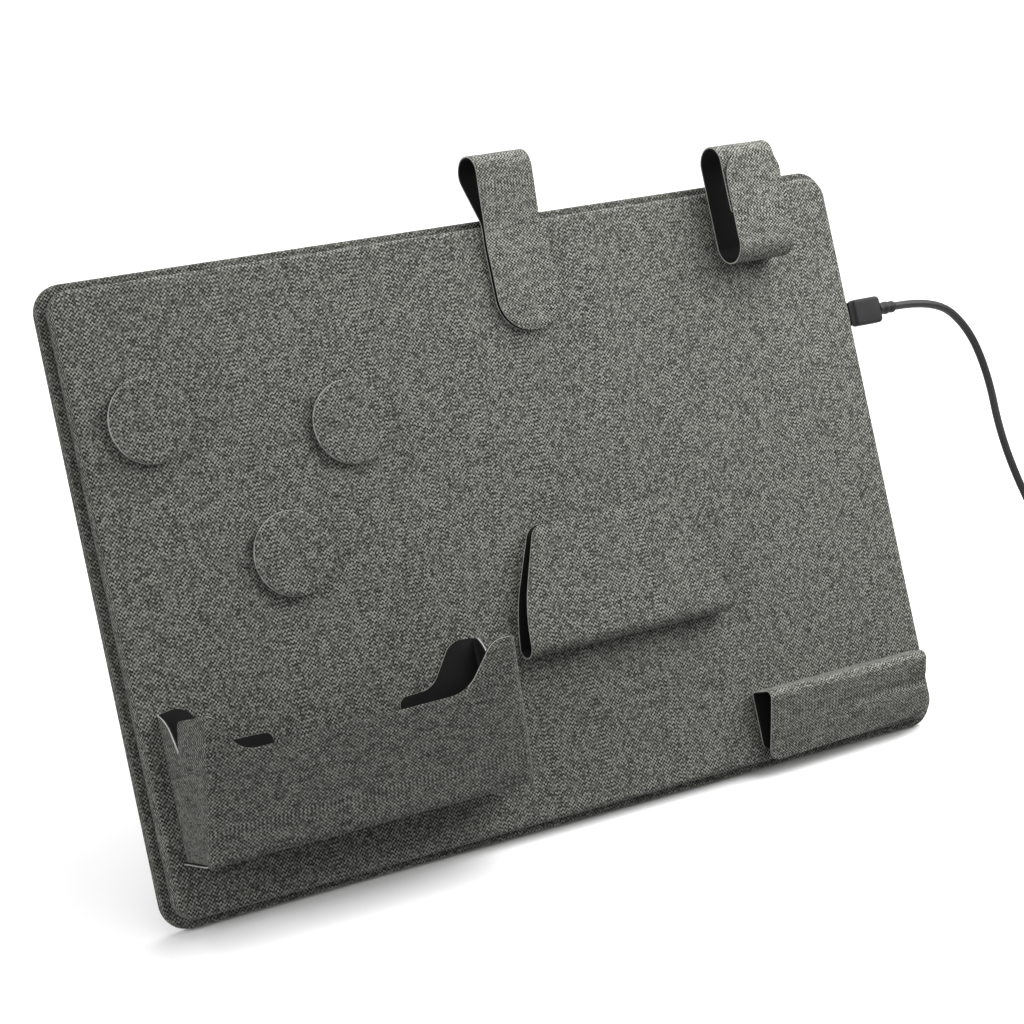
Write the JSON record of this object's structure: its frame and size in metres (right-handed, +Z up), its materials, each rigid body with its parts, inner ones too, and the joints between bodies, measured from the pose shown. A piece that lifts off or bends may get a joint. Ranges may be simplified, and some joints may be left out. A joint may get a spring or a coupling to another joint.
{
  "type": "charging station organizer",
  "caption": "Cloth-covered desk panel leaning on a hinged rear leg, with magnetic tray, card pocket, loops and discs, a phone ledge over a flat charger, and a plugged-in lead.",
  "frame": {"origin": "middle of the standing part's footprint on the desk, the lead left out", "axes": "+X to the right along the panel's long side, +Y to the back, +Z up; the panel faces -Y and leans back"},
  "size_m": [0.522, 0.136, 0.2265],
  "materials": {
    "heather_cloth": "grey heathered woven cloth with light flecks",
    "felt_sheet": "stiff sheet faced with the same heathered cloth, pale core at cut edges",
    "card": "plain grey card board",
    "dark_sheet": "black lining sheet, fine grain",
    "foam": "thin padding foam",
    "steel": "zinc-coated steel sheet",
    "hinge_metal": "black satin metal",
    "magnet": "nickel-plated magnet",
    "winding": "enamelled copper wire",
    "ferrite": "dark sintered ferrite",
    "circuit": "green circuit board",
    "plug_metal": "bright plated shell",
    "plug_plastic": "black moulded plastic, fine satin grain",
    "contact_plastic": "white contact carrier",
    "lead": "black flexible jacket, satin",
    "strap": "black woven strap"
  },
  "bodies": {
    "panel": {"rear_wrap": "heather_cloth", "rear_core": "card", "backing_sheet": "dark_sheet", "front_wrap": "heather_cloth", "front_core": "card", "steel_sheet": "steel", "foam_pad": "foam", "ferrite_disc": "ferrite", "charging_coil": "winding", "circuit_board": "circuit", "charge_socket": "plug_metal", "hinge_leaf_board": "hinge_metal", "hinge_pin": "hinge_metal", "board_rivets": "hinge_metal"},
    "leg": {"leg_wrap": "heather_cloth", "leg_core": "card", "leg_lining": "dark_sheet", "hinge_leaf_leg": "hinge_metal", "leg_rivets": "hinge_metal"},
    "disc_upper_left": {"disc_upper_left": "felt_sheet", "disc_upper_left_magnet": "magnet"},
    "disc_upper_right": {"disc_upper_right": "felt_sheet", "disc_upper_right_magnet": "magnet"},
    "disc_lower": {"disc_lower": "felt_sheet", "disc_lower_magnet": "magnet"},
    "tray": {"tray": "felt_sheet", "tray_magnets": "magnet"},
    "card_pocket": {"card_pocket": "felt_sheet", "pocket_magnets": "magnet"},
    "phone_ledge": {"phone_ledge": "felt_sheet", "ledge_magnets": "magnet"},
    "pen_loop": {"pen_loop": "felt_sheet", "pen_magnet": "magnet"},
    "cable_keeper": {"keeper_strap": "felt_sheet", "keeper_magnet": "magnet"},
    "keeper_flap": {"keeper_flap": "felt_sheet", "flap_magnet": "magnet"},
    "power_plug": {"plug_shell": "plug_metal", "plug_grip": "plug_plastic", "strain_relief": "plug_plastic", "power_cord": "lead", "cord_coil": "lead", "cord_tie": "strap", "cord_tail": "lead", "far_relief": "plug_plastic", "far_grip": "plug_plastic", "far_shell": "plug_metal", "far_tongue": "contact_plastic"}
  },
  "joints": [
    {"name": "leg_fold", "type": "hinge", "parent": "panel", "child": "leg", "pos_m": [0, 0.0192, 0.14585], "axis": [-1, 0, 0], "range_deg": [0, 41]},
    {"name": "disc_upper_left_lift", "type": "slide", "parent": "panel", "child": "disc_upper_left", "axis": [0, -0.9205, 0.3907], "range_m": [0, 0.03]},
    {"name": "disc_upper_right_lift", "type": "slide", "parent": "panel", "child": "disc_upper_right", "axis": [0, -0.9205, 0.3907], "range_m": [0, 0.03]},
    {"name": "disc_lower_lift", "type": "slide", "parent": "panel", "child": "disc_lower", "axis": [0, -0.9205, 0.3907], "range_m": [0, 0.03]},
    {"name": "tray_lift", "type": "slide", "parent": "panel", "child": "tray", "axis": [0, -0.9205, 0.3907], "range_m": [0, 0.03]},
    {"name": "card_pocket_lift", "type": "slide", "parent": "panel", "child": "card_pocket", "axis": [0, -0.9205, 0.3907], "range_m": [0, 0.03]},
    {"name": "phone_ledge_lift", "type": "slide", "parent": "panel", "child": "phone_ledge", "axis": [0, -0.9205, 0.3907], "range_m": [0, 0.03]},
    {"name": "pen_loop_lift", "type": "slide", "parent": "panel", "child": "pen_loop", "axis": [0, -0.9205, 0.3907], "range_m": [0, 0.03]},
    {"name": "cable_keeper_lift", "type": "slide", "parent": "panel", "child": "cable_keeper", "axis": [0, -0.9205, 0.3907], "range_m": [0, 0.03]},
    {"name": "keeper_flap_fold", "type": "hinge", "parent": "cable_keeper", "child": "keeper_flap", "pos_m": [0.119, 0.0082, 0.19033], "axis": [1, 0, 0], "range_deg": [0, 90]},
    {"name": "plug_pull", "type": "slide", "parent": "panel", "child": "power_plug", "axis": [1, 0, 0], "range_m": [0, 0.012]}
  ]
}
